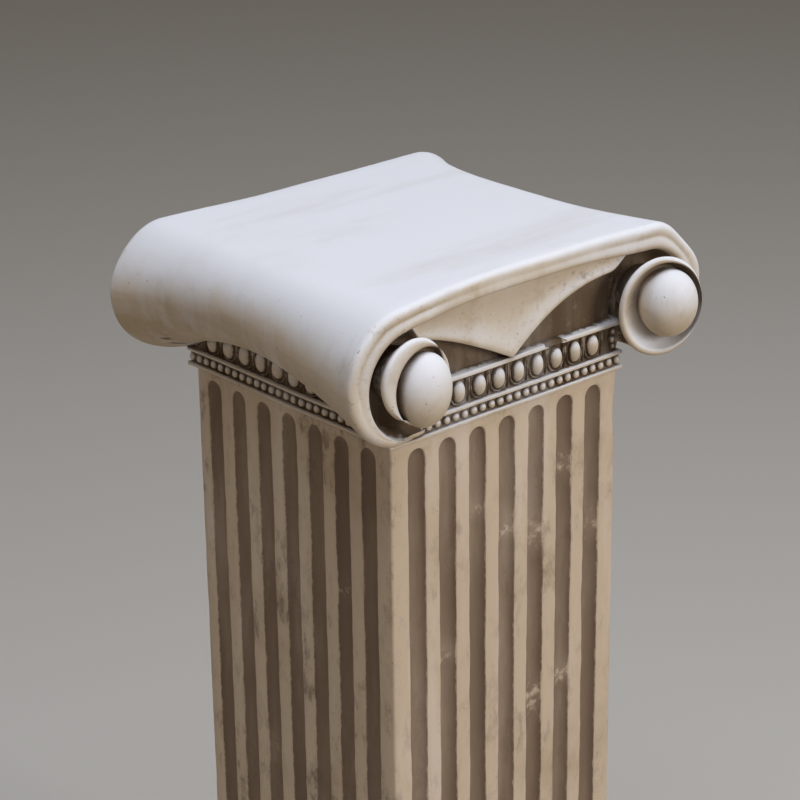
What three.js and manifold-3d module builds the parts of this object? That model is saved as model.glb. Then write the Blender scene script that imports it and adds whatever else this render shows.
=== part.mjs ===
// A garden column in cast stone, in three castings stacked dry: a low moulded plinth, a square
// shaft with seven flutes on each face, and a scroll capital with a roll at its left and right.
// Millimetres, +Z up, origin at the middle of the underside. The front, -Y, shows two scrolls.

import * as THREE from "three";
import { mergeVertices } from "three/addons/utils/BufferGeometryUtils.js";
import Module from "manifold-3d";

const wasm = await Module();
wasm.setup();

// Heights of the three castings and the dry joints between them.
const plinthHeight = 88;
const shaftHeight = 596.4;
const capitalHeight = 115;
const jointGap = 0.3;

// Shaft and its flutes: round-ended channels, as many as fit on each face.
const shaftWidth = 230;
const fluteWidth = 17;
const fluteDepth = 6.5;
const fluteRidge = 13;
const fluteSideMargin = 16;
const fluteTopMargin = 6.6;
const fluteFootMargin = 22;
const shaftArris = 1.6;

// Plinth: a block, a rounded roll and a fillet under the shaft.
const plinthWidth = 300;
const plinthBlockHeight = 52;
const plinthRollRadius = 10;
const plinthFilletHeight = 6;
const plinthLedge = 9;
const plinthArris = 2.5;

// Neck of the capital: three fillets with a row of beads and a row of eggs sunk between them.
const neckOverhang = 3.4;
const lowFilletHeight = 3;
const beadFieldHeight = 9.4;
const midFilletHeight = 2.6;
const eggFieldHeight = 21.8;
const topFilletHeight = 3.6;
const beadFieldSink = 4;
const eggFieldSink = 5;
const wallSink = 8;
const neckArris = 1;
const sinkSlope = 0.6;

const beadPitch = 8.75;
const beadWidth = 6.6;
const beadHeight = 7.2;
const beadProud = 3.6;

const eggPitch = 19.5;
const eggWidth = 12;
const eggHeight = 17.5;
const eggProud = 5.4;
const dartWidth = 4;
const dartPoint = 1.6;
const dartProud = 3.6;
const cornerLeafRadius = 6.8;

// Slab of the capital, whose left and right ends roll down into scrolls.
const slabThickness = 17;
const slabEdgeRound = 4;
const leftReach = 173;
const rightReach = 183.3;
const rightTwist = 5.3;
const leftWaistRadius = 35.6;
const rightWaistRadius = 38;
const leftPinch = 12.6;
const rightPinch = 30.1;
const pinchSoftness = 0.03;
const frontMiddleReach = 127;
const rearMiddleReach = 135;

// Cup profile, alike on all four scroll ends, and how much taller than wide a boss is.
const cupLip = 3;
const cupDish = 5;
const cupUndercut = 8;
const cupLipDepth = 8;
const cupRootTaper = 0.7;
const bossStretch = 1.2;

// The four scroll ends were shaped by hand, so no two are quite alike. Each has the radius of its
// scroll, its reach to the side and to the face, how late it flares and how much its shoulder is
// flattened, then the hollow inside the band, the cup and the boss. In is how far an axis lies in
// from the reach, up is its height, and stretch is how much taller than wide a cup is.
const frontLeft = {
  radius: 51.8,
  reach: leftReach,
  face: 141,
  flare: 1.5,
  shoulder: 0,
  hollowRadius: 38.3,
  hollowIn: 57,
  hollowUp: 58,
  cupRadius: 30.1,
  cupStretch: 1,
  cupIn: 52.3,
  cupUp: 63.7,
  rim: 148,
  toeIn: 4,
  bossRadius: 22.8,
  bossIn: 61.3,
  bossUp: 57.8,
  bossProud: 17,
};
const frontRight = {
  radius: 52,
  reach: rightReach + rightTwist,
  face: 133,
  flare: 1.8,
  shoulder: 6,
  hollowRadius: 40,
  hollowIn: 57.6,
  hollowUp: 55,
  cupRadius: 35.3,
  cupStretch: 1.13,
  cupIn: 60.9,
  cupUp: 58.2,
  rim: 147,
  toeIn: 18,
  bossRadius: 22.5,
  bossIn: 56.6,
  bossUp: 60,
  bossProud: 20,
};
const rearLeft = {
  radius: 51.5,
  reach: leftReach,
  face: 141,
  flare: 2.1,
  shoulder: 2,
  hollowRadius: 38.5,
  hollowIn: 55,
  hollowUp: 58,
  cupRadius: 33,
  cupStretch: 1.06,
  cupIn: 53,
  cupUp: 61,
  rim: 148,
  toeIn: 8,
  bossRadius: 22.5,
  bossIn: 54,
  bossUp: 60,
  bossProud: 18,
};
const rearRight = {
  radius: 46.8,
  reach: rightReach - rightTwist,
  face: 137,
  flare: 4,
  shoulder: 0,
  hollowRadius: 34.5,
  hollowIn: 49,
  hollowUp: 65,
  cupRadius: 32,
  cupStretch: 1.06,
  cupIn: 50,
  cupUp: 63,
  rim: 148,
  toeIn: 8,
  bossRadius: 22,
  bossIn: 51,
  bossUp: 62,
  bossProud: 18,
};

// Apron: the pointed fold that hangs from the slab's edge down to the egg row.
const apronHalfWidth = 103;
const apronEdgeHigh = 90;
const apronEdgePower = 1.35;
const apronSetBack = 3;
const apronTipProud = 2.5;
const apronHollow = 4;

// How far a shape that is joined on runs into the one behind it.
const bite = 2;

// Neighbouring facets closer to flat than this are merged.
const flatness = 0.06;

// Sizes that follow from the ones above.
const shaftFoot = plinthHeight + jointGap;
const shaftTop = shaftFoot + shaftHeight;
const capitalFoot = shaftTop + jointGap;
const half = shaftWidth / 2;
const flutePitch = fluteWidth + fluteRidge;
const fluteCount = Math.floor((shaftWidth - 2 * fluteSideMargin + fluteRidge) / flutePitch);
const neckHalf = half + neckOverhang;
const beadRowWidth = 2 * (neckHalf - beadFieldSink);
const beadCount = Math.floor(beadRowWidth / beadPitch) + 1;
const eggRowWidth = 2 * (neckHalf - eggFieldSink - cornerLeafRadius);
const eggCount = Math.floor(eggRowWidth / eggPitch);
const wallHalf = neckHalf - wallSink;
const beadFieldFoot = lowFilletHeight;
const midFilletFoot = beadFieldFoot + beadFieldHeight;
const eggFieldFoot = midFilletFoot + midFilletHeight;
const topFilletFoot = eggFieldFoot + eggFieldHeight;
const topFilletTop = topFilletFoot + topFilletHeight;
const slabFoot = capitalHeight - slabThickness;
const leftWaistReach = leftReach - leftPinch;
const rightWaistReach = rightReach - rightPinch;
const deepestRim = Math.max(frontLeft.rim, frontRight.rim, rearLeft.rim, rearRight.rim);

// A closed geometry as a solid that can be joined and cut.
function solid(geometry) {
  const bare = geometry.clone();
  bare.deleteAttribute("normal");
  bare.deleteAttribute("uv");
  const merged = mergeVertices(bare, 1e-4);
  const corners = merged.index.array;
  const kept = [];
  for (let i = 0; i < corners.length; i += 3) {
    const [a, b, c] = corners.slice(i, i + 3);
    if (a !== b && b !== c && c !== a) kept.push(a, b, c);
  }
  return new wasm.Manifold(
    new wasm.Mesh({
      numProp: 3,
      vertProperties: merged.attributes.position.array,
      triVerts: new Uint32Array(kept),
    }),
  );
}

// A finished solid as a named mesh with its own material.
function piece(name, body, colour, roughness) {
  const made = body.simplify(flatness).getMesh();
  const geometry = new THREE.BufferGeometry();
  const position = new Float32Array(made.numVert * 3);
  for (let i = 0; i < made.numVert; i++) {
    const start = i * made.numProp;
    position.set(made.vertProperties.subarray(start, start + 3), i * 3);
  }
  geometry.setAttribute("position", new THREE.BufferAttribute(position, 3));
  geometry.setIndex(new THREE.BufferAttribute(new Uint32Array(made.triVerts), 1));
  geometry.computeVertexNormals();
  const material = new THREE.MeshStandardMaterial({ color: colour, roughness, metalness: 0 });
  const mesh = new THREE.Mesh(geometry, material);
  mesh.name = name;
  return mesh;
}

// A skin over rings of equal length, each a list of Vector3, closed by a flat cap at either end.
// flat(point) gives the two coordinates in which the caps are filled.
function loft(rings, flat) {
  const count = rings[0].length;
  const position = rings.flatMap((ring) => ring.flatMap((p) => [p.x, p.y, p.z]));
  const index = [];
  for (let k = 0; k + 1 < rings.length; k++) {
    for (let i = 0; i < count; i++) {
      const a = k * count + i;
      const b = k * count + ((i + 1) % count);
      index.push(a, b, b + count, a, b + count, a + count);
    }
  }
  const last = (rings.length - 1) * count;
  const cap = (ring, start, facesOn) => {
    const contour = ring.map(flat);
    const straight = THREE.ShapeUtils.area(contour) > 0 === facesOn;
    for (const [a, b, c] of THREE.ShapeUtils.triangulateShape(contour, [])) {
      index.push(start + (straight ? a : c), start + b, start + (straight ? c : a));
    }
  };
  cap(rings[0], 0, false);
  cap(rings[rings.length - 1], last, true);
  const geometry = new THREE.BufferGeometry();
  geometry.setAttribute("position", new THREE.Float32BufferAttribute(position, 3));
  geometry.setIndex(index);
  return outward(geometry);
}

// The same geometry with its faces turned out, whichever way its rings ran.
function outward(geometry) {
  if (solid(geometry).volume() > 0) return geometry;
  const index = geometry.index.array;
  for (let i = 0; i < index.length; i += 3) {
    const first = index[i];
    index[i] = index[i + 1];
    index[i + 1] = first;
  }
  return geometry;
}

// A stack of squares about the axis: each step is [half width, height].
function squareStack(steps) {
  const rings = steps.map(([h, z]) => [
    new THREE.Vector3(-h, -h, z),
    new THREE.Vector3(h, -h, z),
    new THREE.Vector3(h, h, z),
    new THREE.Vector3(-h, h, z),
  ]);
  return loft(rings, (p) => new THREE.Vector2(p.x, p.y));
}

// The geometries that make() gives for the front face, turned to all four faces as solids.
function onFourFaces(make) {
  const made = [];
  for (let face = 0; face < 4; face++) {
    const turn = new THREE.Matrix4().makeRotationZ((face * Math.PI) / 2);
    for (const geometry of make()) made.push(solid(geometry.clone().applyMatrix4(turn)));
  }
  return made;
}

// The places of a row of things that is centred on the face.
function row(count, pitch) {
  return Array.from({ length: count }, (_, i) => (i - (count - 1) / 2) * pitch);
}

// Plinth: block, step, half-round roll and fillet, with a small round on the block's arrises.
function plinth() {
  const blockHalf = plinthWidth / 2;
  const filletHalf = half + plinthLedge;
  const filletFoot = plinthHeight - plinthFilletHeight;
  const rollMiddle = filletFoot - plinthRollRadius;
  const steps = [
    [blockHalf - plinthArris, 0],
    [blockHalf, plinthArris],
    [blockHalf, plinthBlockHeight - plinthArris],
    [blockHalf - plinthArris, plinthBlockHeight],
    [filletHalf + plinthRollRadius, plinthBlockHeight],
    [filletHalf + plinthRollRadius, rollMiddle - plinthRollRadius],
  ];
  const turns = 6;
  for (let i = 1; i < turns; i++) {
    const angle = (i / turns - 0.5) * Math.PI;
    const out = filletHalf + plinthRollRadius * Math.cos(angle);
    steps.push([out, rollMiddle + plinthRollRadius * Math.sin(angle)]);
  }
  steps.push([filletHalf, filletFoot], [filletHalf, plinthHeight]);
  return solid(squareStack(steps));
}

// Shaft: a square block with eased arrises, cut by round-ended flutes on every face.
function shaft() {
  const block = solid(
    squareStack([
      [half - shaftArris, shaftFoot],
      [half, shaftFoot + shaftArris],
      [half, shaftTop - shaftArris],
      [half - shaftArris, shaftTop],
    ]),
  );
  const cutRadius = (fluteWidth ** 2 / 4 + fluteDepth ** 2) / (2 * fluteDepth);
  const mouth = fluteWidth / 2;
  const straight = shaftHeight - fluteTopMargin - fluteFootMargin - 2 * mouth;
  const middle = shaftFoot + fluteFootMargin + mouth + straight / 2;
  const flutes = onFourFaces(() =>
    row(fluteCount, flutePitch).map((x) =>
      new THREE.CapsuleGeometry(cutRadius, straight, 2, 10)
        .rotateX(Math.PI / 2)
        .translate(x, -half - (cutRadius - fluteDepth), middle),
    ),
  );
  return block.subtract(wasm.Manifold.union(flutes));
}

// The hand-shaped scroll end that a place on the slab belongs to.
function scrollEnd(end, side) {
  if (end < 0) return side < 0 ? frontLeft : frontRight;
  return side < 0 ? rearLeft : rearRight;
}

// One side of the dog-bone outline of slab and scrolls at a station, from the top's middle round
// the scroll to the underside's middle. station runs from -1 at the front to 1 at the rear, and
// inset draws the outline in where the edge is rounded over.
function scrollOutline(station, side, inset) {
  const end = scrollEnd(station, side);
  const soft = (s) => (s ** 2 + pinchSoftness) ** (end.flare / 2);
  const flare = (soft(station) - soft(0)) / (soft(1) - soft(0));
  const waistRadius = side < 0 ? leftWaistRadius : rightWaistRadius;
  const waistReach = side < 0 ? leftWaistReach : rightWaistReach;
  const radius = waistRadius + (end.radius - waistRadius) * flare;
  const reach = waistReach + (end.reach - waistReach) * flare;
  const middleX = reach - radius;
  const middleZ = capitalHeight - radius;
  const full = radius - inset;
  const under = slabFoot + inset;
  const topSteps = 5;
  const turns = 15;
  const underSteps = 4;
  const points = [];
  for (let i = 0; i < topSteps; i++) {
    points.push(new THREE.Vector2((middleX * i) / topSteps, middleZ + full));
  }
  const lift = Math.asin((under - middleZ) / full);
  const sweep = 1.5 * Math.PI - lift;
  for (let i = 0; i <= turns; i++) {
    const angle = Math.PI / 2 - (i / turns) * sweep;
    const flattened = angle > 0 ? end.shoulder * flare * Math.sin(2 * angle) ** 2 : 0;
    const r = full - flattened;
    points.push(new THREE.Vector2(middleX + r * Math.cos(angle), middleZ + r * Math.sin(angle)));
  }
  const last = points[points.length - 1].x;
  for (let i = 1; i <= underSteps; i++) {
    points.push(new THREE.Vector2(last * (1 - i / underSteps), under));
  }
  return points.map((p) => new THREE.Vector2(side * p.x, p.y));
}

// How far the front or rear edge stands from the middle at a place across the slab.
function edgeReach(x, station) {
  const end = scrollEnd(station, x);
  const middle = station < 0 ? frontMiddleReach : rearMiddleReach;
  const out = Math.min(1, Math.abs(x) / (end.reach - end.radius));
  return middle + (end.face - middle) * out ** 2;
}

// Slab and both rolls, in one skin from the front face to the rear face.
function scrollBody() {
  const inner = [0.16, 0.4, 0.58, 0.74, 0.88];
  const ringAt = (station, inset, back) => {
    const right = scrollOutline(station, 1, inset);
    const left = scrollOutline(station, -1, inset).slice(1, -1).reverse();
    return [...right, ...left].map((p) => {
      const y = station * edgeReach(p.x, station) - Math.sign(station) * back;
      return new THREE.Vector3(p.x, y, p.y);
    });
  };
  const halfway = slabEdgeRound * (1 - Math.SQRT1_2);
  const edge = (end) => [
    ringAt(end, slabEdgeRound, 0),
    ringAt(end, halfway, halfway),
    ringAt(end, 0, slabEdgeRound),
  ];
  const waist = [...inner.map((s) => -s).reverse(), ...inner].map((s) => ringAt(s, 0, 0));
  const rings = [...edge(-1), ...waist, ...edge(1).reverse()];
  return solid(loft(rings, (p) => new THREE.Vector2(p.x, p.z)));
}

// The space inside the band on one face: a round end in each scroll, open across the middle.
function pocket(end) {
  const left = scrollEnd(end, -1);
  const right = scrollEnd(end, 1);
  const leftX = left.hollowIn - left.reach;
  const rightX = right.reach - right.hollowIn;
  const quarter = Math.PI / 2;
  const shape = new THREE.Shape();
  shape.moveTo(leftX, left.hollowUp - left.hollowRadius);
  shape.lineTo(rightX, right.hollowUp - right.hollowRadius);
  shape.absarc(rightX, right.hollowUp, right.hollowRadius, -quarter, quarter, false);
  shape.lineTo(rightX - right.hollowRadius, slabFoot);
  shape.lineTo(leftX + left.hollowRadius, slabFoot);
  shape.lineTo(leftX, left.hollowUp + left.hollowRadius);
  shape.absarc(leftX, left.hollowUp, left.hollowRadius, quarter, 3 * quarter, false);
  const depth = deepestRim - wallHalf;
  const middle = end * (wallHalf - bite + depth / 2);
  return new THREE.ExtrudeGeometry(shape, { depth, bevelEnabled: false, curveSegments: 12 })
    .rotateX(quarter)
    .translate(0, middle + depth / 2, 0);
}

// Height of the apron's lower edge at a place across the face.
function apronEdge(x) {
  const out = Math.min(1, Math.abs(x) / apronHalfWidth);
  return topFilletTop + (apronEdgeHigh - topFilletTop) * (1 - (1 - out) ** apronEdgePower);
}

// Apron: a hollowed front from the slab's edge to the pointed lower edge, backed by the wall.
function apron(end) {
  const columns = 12;
  const rows = 4;
  const rings = [];
  for (let i = 0; i <= columns; i++) {
    const x = (2 * i / columns - 1) * apronHalfWidth;
    const foot = apronEdge(x);
    const top = edgeReach(x, end) - apronSetBack;
    const tip = neckHalf + apronTipProud;
    const edge = top + (tip - top) * ((slabFoot - foot) / (slabFoot - topFilletTop));
    const ring = [new THREE.Vector3(x, wallHalf - bite, slabFoot + bite)];
    ring.push(new THREE.Vector3(x, top, slabFoot + bite));
    for (let k = 0; k <= rows; k++) {
      const s = k / rows;
      const y = top + (edge - top) * s - apronHollow * Math.sin(Math.PI * s);
      ring.push(new THREE.Vector3(x, y, slabFoot + (foot - slabFoot) * s));
    }
    ring.push(new THREE.Vector3(x, wallHalf - bite, foot));
    rings.push(ring.map((p) => new THREE.Vector3(p.x, end * p.y, p.z)));
  }
  return solid(loft(rings, (p) => new THREE.Vector2(p.y, p.z)));
}

// A turned shape whose profile gives its radius and its height towards the viewer of one end.
function turned(profile, end, segments) {
  const points = profile.map(([r, d]) => new THREE.Vector2(r, -end * d));
  const geometry = new THREE.LatheGeometry(points, segments);
  return outward(geometry.rotateX(Math.PI));
}

// Cup: a stem that widens to a rounded lip round a shallow dish. Its rim is at height 0.
function cup(radius, end) {
  const stem = radius - cupUndercut;
  const profile = [
    [0, wallHalf - bite - deepestRim],
    [stem * cupRootTaper, wallHalf - bite - deepestRim],
    [stem, -cupLipDepth - cupUndercut / 2],
    [radius - cupLip / 4, -cupLipDepth / 2],
    [radius, -cupLip / 2],
    [radius - cupLip / 2, 0],
    [radius - cupLip, -cupLip / 3],
    [radius - 2 * cupLip, -cupDish],
    [0, -cupDish],
  ];
  return turned(profile, end, 18);
}

// Boss: a low drum that stands in the dish and swells to a dome.
function boss(radius, proud, end) {
  const profile = [
    [0, -cupDish - bite],
    [radius - bite / 2, -cupDish - bite],
  ];
  const turns = 5;
  for (let i = 0; i < turns; i++) {
    const angle = (i / turns) * (Math.PI / 2);
    profile.push([radius * Math.cos(angle), proud * Math.sin(angle)]);
  }
  profile.push([0, proud]);
  return turned(profile, end, 18);
}

// One scroll face: the cup and its boss, turned in a little towards the middle of the face.
function scrollFace(end, side) {
  const at = scrollEnd(end, side);
  const turn = THREE.MathUtils.degToRad(at.toeIn) * side * end;
  const place = (geometry, stretch, inward, z) => {
    geometry.scale(1, 1, stretch).rotateZ(turn);
    return solid(geometry.translate(side * (at.reach - inward), end * at.rim, z));
  };
  const dish = place(cup(at.cupRadius, end), at.cupStretch, at.cupIn, at.cupUp);
  const dome = place(boss(at.bossRadius, at.bossProud, end), bossStretch, at.bossIn, at.bossUp);
  return dish.add(dome);
}

// Egg row: eggs between darts in a sunk field, with a small leaf on each corner.
function eggs() {
  const field = neckHalf - eggFieldSink;
  const middle = eggFieldFoot + eggFieldHeight / 2;
  const egg = (x) =>
    new THREE.SphereGeometry(1, 8, 4)
      .scale(eggWidth / 2, eggProud, eggHeight / 2)
      .translate(x, -field, middle);
  const dart = (x) =>
    new THREE.CylinderGeometry(dartWidth / 2, dartPoint / 2, eggFieldHeight + sinkSlope, 4)
      .scale(1, 1, dartProud / (dartWidth / 2))
      .rotateX(Math.PI / 2)
      .translate(x, -field, middle);
  return onFourFaces(() => [
    ...row(eggCount, eggPitch).map(egg),
    ...row(eggCount + 1, eggPitch).map(dart),
  ]);
}

// Corner leaves: a plain swelling that turns each corner of the egg row.
function cornerLeaves() {
  const field = neckHalf - eggFieldSink;
  const middle = eggFieldFoot + eggFieldHeight / 2;
  return onFourFaces(() => [
    new THREE.SphereGeometry(1, 8, 6)
      .scale(cornerLeafRadius, cornerLeafRadius, eggHeight / 2)
      .translate(bite - field, bite - field, middle),
  ]);
}

// Bead row in the lower sunk field.
function beads() {
  const field = neckHalf - beadFieldSink;
  const middle = beadFieldFoot + beadFieldHeight / 2;
  return onFourFaces(() =>
    row(beadCount, beadPitch).map((x) =>
      new THREE.SphereGeometry(1, 6, 2)
        .scale(beadWidth / 2, beadProud, beadHeight / 2)
        .translate(x, -field, middle),
    ),
  );
}

// Capital: scroll body with its pockets, on a neck of fillets and sunk fields.
function capital() {
  const neck = solid(
    squareStack([
      [neckHalf - neckArris, 0],
      [neckHalf, neckArris],
      [neckHalf, lowFilletHeight],
      [neckHalf - beadFieldSink, beadFieldFoot + sinkSlope],
      [neckHalf - beadFieldSink, midFilletFoot - sinkSlope],
      [neckHalf, midFilletFoot],
      [neckHalf, eggFieldFoot],
      [neckHalf - eggFieldSink, eggFieldFoot + sinkSlope],
      [neckHalf - eggFieldSink, topFilletFoot - sinkSlope],
      [neckHalf, topFilletFoot],
      [neckHalf, topFilletTop - neckArris],
      [wallHalf, topFilletTop],
      [wallHalf, capitalHeight - slabThickness / 2],
    ]),
  );
  const scrolls = scrollBody().subtract(solid(pocket(-1))).subtract(solid(pocket(1)));
  const added = [
    scrolls,
    neck,
    apron(-1),
    apron(1),
    scrollFace(-1, -1),
    scrollFace(-1, 1),
    scrollFace(1, -1),
    scrollFace(1, 1),
    ...eggs(),
    ...cornerLeaves(),
    ...beads(),
  ];
  return wasm.Manifold.union(added).translate([0, 0, capitalFoot]);
}

const column = new THREE.Group();
column.add(piece("plinth", plinth(), "#cfc6b4", 0.9));
column.add(piece("shaft", shaft(), "#cdbfa9", 0.88));
column.add(piece("capital", capital(), "#dad8d6", 0.85));

export default column;
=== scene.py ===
# %% [markdown]
# # A garden column in cast stone
# This lesson dresses a plain solid model of a garden column until it looks like the real one:
# a square fluted shaft on a low plinth, with a scroll capital on top. The real column is cast in
# three pieces that stand on each other dry. Each casting becomes one detailed mesh here, which
# keeps to its solid within a few millimetres. All lengths on the column are written in
# millimetres, because that is how a maker would measure it. Every noise and scatter starts from
# one fixed seed, so the column comes out the same each time.

# %% Load the solids
import math

import bmesh
import bpy
import numpy as np
from mathutils import Matrix, Vector, noise


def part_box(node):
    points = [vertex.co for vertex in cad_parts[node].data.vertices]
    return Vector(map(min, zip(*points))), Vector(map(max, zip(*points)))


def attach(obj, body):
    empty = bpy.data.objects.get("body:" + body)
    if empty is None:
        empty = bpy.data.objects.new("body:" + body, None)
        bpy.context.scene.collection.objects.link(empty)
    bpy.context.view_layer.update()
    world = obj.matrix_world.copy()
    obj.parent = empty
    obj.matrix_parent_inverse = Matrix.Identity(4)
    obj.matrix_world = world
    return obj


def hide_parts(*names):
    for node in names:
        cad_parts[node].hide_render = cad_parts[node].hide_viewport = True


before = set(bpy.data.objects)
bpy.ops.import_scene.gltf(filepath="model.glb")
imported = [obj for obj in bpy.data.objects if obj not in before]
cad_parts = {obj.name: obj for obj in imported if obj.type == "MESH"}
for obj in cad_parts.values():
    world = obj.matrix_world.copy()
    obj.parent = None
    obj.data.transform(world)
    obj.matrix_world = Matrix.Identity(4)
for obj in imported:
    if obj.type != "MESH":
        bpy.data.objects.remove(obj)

MM = 0.001
SEED = 7
noise.seed_set(SEED)
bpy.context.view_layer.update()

# %% [markdown]
# ## The camera
# The photograph was taken with a long lens, from above and from the front left corner. Its lines
# were fitted to the straight flutes, which gives the direction, the distance and the lens.
# Starting with the camera means that every piece can be judged from that view as it is made.

# %% Place the camera
AIM = Vector((-4.37, 0, 658.18)) * MM
CAMERA_DISTANCE = 1973.17 * MM
CAMERA_TURN = math.radians(-41.275)
CAMERA_RISE = math.radians(22.02)
CAMERA_ROLL = math.radians(-0.773)


def camera_axes():
    """The camera's right, up and backward directions."""
    back = Vector((math.sin(CAMERA_TURN) * math.cos(CAMERA_RISE),
                   -math.cos(CAMERA_TURN) * math.cos(CAMERA_RISE),
                   math.sin(CAMERA_RISE)))
    level = Vector((0, 0, 1)).cross(back).normalized()
    upright = back.cross(level)
    right = math.cos(CAMERA_ROLL) * level + math.sin(CAMERA_ROLL) * upright
    return right, back.cross(right), back


right, up, back = camera_axes()
lens = bpy.data.cameras.new("photo_camera")
lens.lens = 115.17
lens.sensor_width = 36
camera = bpy.data.objects.new("photo_camera", lens)
bpy.context.scene.collection.objects.link(camera)
camera.matrix_world = Matrix.Translation(AIM + back * CAMERA_DISTANCE) @ Matrix(
    (right, up, back)).transposed().to_4x4()
bpy.context.scene.camera = camera
print("camera at", [round(x, 3) for x in camera.matrix_world.translation])

# %% [markdown]
# ## Small tools for making shapes
# Every shape below is a net of points: rows of points that are joined to the next row with
# four-sided faces. Blender's ready-made shapes would be quicker, but they are too even for a
# column that was shaped by hand. A closed net is what a caster would call a sound casting, and
# only closed nets can be joined into one skin later.

# %% Helpers that turn rows of points into faces
def make_object(name, points, faces):
    """A mesh object from points in millimetres."""
    mesh = bpy.data.meshes.new(name)
    mesh.from_pydata([Vector(p) * MM for p in points], [], faces)
    mesh.update()
    made = bpy.data.objects.new(name, mesh)
    bpy.context.scene.collection.objects.link(made)
    return made


def net_faces(rows, columns, wrap):
    """Faces between neighbouring rows. wrap joins the last column to the first."""
    faces = []
    for r in range(rows - 1):
        for c in range(columns if wrap else columns - 1):
            a = r * columns + c
            b = r * columns + (c + 1) % columns
            faces.append((a, b, b + columns, a + columns))
    return faces


def closed_stack(name, rings):
    """A closed mesh over rings of equal length, with a flat face at each end."""
    count = len(rings[0])
    points = [p for ring in rings for p in ring]
    faces = net_faces(len(rings), count, True)
    faces.append(tuple(reversed(range(count))))
    faces.append(tuple(range((len(rings) - 1) * count, len(rings) * count)))
    return make_object(name, points, faces)


def face_outward(piece):
    """Merges doubled points, turns all faces outward and cuts large flat faces up."""
    net = bmesh.new()
    net.from_mesh(piece.data)
    bmesh.ops.remove_doubles(net, verts=net.verts, dist=0.0005 * MM)
    bmesh.ops.recalc_face_normals(net, faces=net.faces)
    large = [f for f in net.faces if len(f.verts) > 4]
    bmesh.ops.triangulate(net, faces=large)
    net.to_mesh(piece.data)
    net.free()
    return piece


def ease(x):
    """A smooth step from 0 to 1."""
    x = min(1.0, max(0.0, x))
    return x * x * (3 - 2 * x)


def mix(a, b, share):
    """A value between a and b."""
    return a + (b - a) * share


print("a smooth step at a quarter:", ease(0.25))

# %% [markdown]
# ## The scroll ends of the capital
# The capital's slab rolls down at the left and right into two long rolls, pinched at the middle
# like a bone, and each roll shows a scroll at the front and at the rear. The scrolls were shaped
# by hand in the mould's pattern, so each has sizes of its own. One shared size and a mirror would
# be shorter, but the four scrolls would then look alike. So a small dictionary an end keeps them:
# the ring's radius and reach, the hollow inside it, the hook, the cup, its dish and the boss.
# Reach and side are measured from the middle across, face, rim and depth from the middle to the
# viewer. The low value stretches a hollow downwards, the bowl value widens its wall towards the
# floor, and toe-in is the angle in degrees by which a cup turns.

# %% Sizes of the capital
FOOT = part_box("capital")[0].z / MM
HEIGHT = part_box("capital")[1].z / MM - FOOT
SHAFT_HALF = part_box("shaft")[1].x / MM
NECK_OVERHANG = 3.4
NECK_HALF = SHAFT_HALF + NECK_OVERHANG
WALL_SETBACK = 8
WALL_HALF = NECK_HALF - WALL_SETBACK
POCKET_FLOOR = WALL_HALF - 1
SLAB_THICKNESS = 17
SLAB_UNDERSIDE = HEIGHT - SLAB_THICKNESS

FRONT_LEFT = dict(radius=51.8, reach=173, face=141, flare=1.5, shoulder=0,
                  hollow=38.3, hollow_side=116, hollow_height=58, hollow_low=1.11, bowl=1.8,
                  hook_side=85, hook_height=3.5, hook_depth=119,
                  cup=29.9, cup_tall=1.0, cup_side=120.2, cup_height=63.4, rim=148, toe_in=4,
                  dish=27.2, dish_tall=1.05, dish_side=111, dish_height=55.6, dish_depth=6,
                  boss=22.2, boss_tall=1.24, boss_side=111, boss_height=53.4, proud=17)
FRONT_RIGHT = dict(radius=52, reach=188.6, face=133, flare=1.8, shoulder=6,
                   hollow=40, hollow_side=131, hollow_height=55, hollow_low=1, bowl=1,
                   hook_side=116, hook_height=31, hook_depth=100,
                   cup=35.1, cup_tall=1.11, cup_side=129.1, cup_height=55, rim=147, toe_in=18,
                   dish=32.2, dish_tall=1.05, dish_side=131, dish_height=55.2, dish_depth=10,
                   boss=22.4, boss_tall=1.17, boss_side=135.2, boss_height=57.5, proud=20)
REAR_LEFT = dict(radius=50, reach=173, face=141, flare=2.1, shoulder=2,
                 hollow=38.5, hollow_side=118, hollow_height=58, hollow_low=1, bowl=1.2,
                 hook_side=96, hook_height=11, hook_depth=118,
                 cup=33, cup_tall=1.06, cup_side=120, cup_height=61, rim=148, toe_in=8,
                 dish=28.4, dish_tall=1.06, dish_side=119.4, dish_height=60.4, dish_depth=8,
                 boss=22.5, boss_tall=1.2, boss_side=119, boss_height=60, proud=18)
REAR_RIGHT = dict(radius=46.8, reach=178, face=137, flare=4, shoulder=0,
                  hollow=34.5, hollow_side=129, hollow_height=65, hollow_low=1, bowl=1,
                  hook_side=116, hook_height=33, hook_depth=100,
                  cup=32, cup_tall=1.06, cup_side=128, cup_height=63, rim=148, toe_in=8,
                  dish=27.4, dish_tall=1.06, dish_side=127.4, dish_height=62.4, dish_depth=8,
                  boss=22, boss_tall=1.2, boss_side=127, boss_height=62, proud=18)


def scroll_end(end, side):
    """The sizes of one scroll end: end -1 is the front, side -1 the left."""
    if end < 0:
        return FRONT_LEFT if side < 0 else FRONT_RIGHT
    return REAR_LEFT if side < 0 else REAR_RIGHT


print("capital stands at", round(FOOT, 1), "and is", round(HEIGHT, 1), "mm high")

# %% [markdown]
# ## The rolled sheet
# Slab, rolls and the ribbon-like band on each face are one skin. Think of a thick sheet of clay
# whose ends were rolled under. One line runs along the sheet from the left hook over the top to
# the right hook, and the net repeats that line again and again from the front hollow, over the
# face, back along the rolls and into the rear hollow. A box with a bevel would be quicker, but
# it couldn't pinch the rolls or bend the band round the scrolls.

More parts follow.
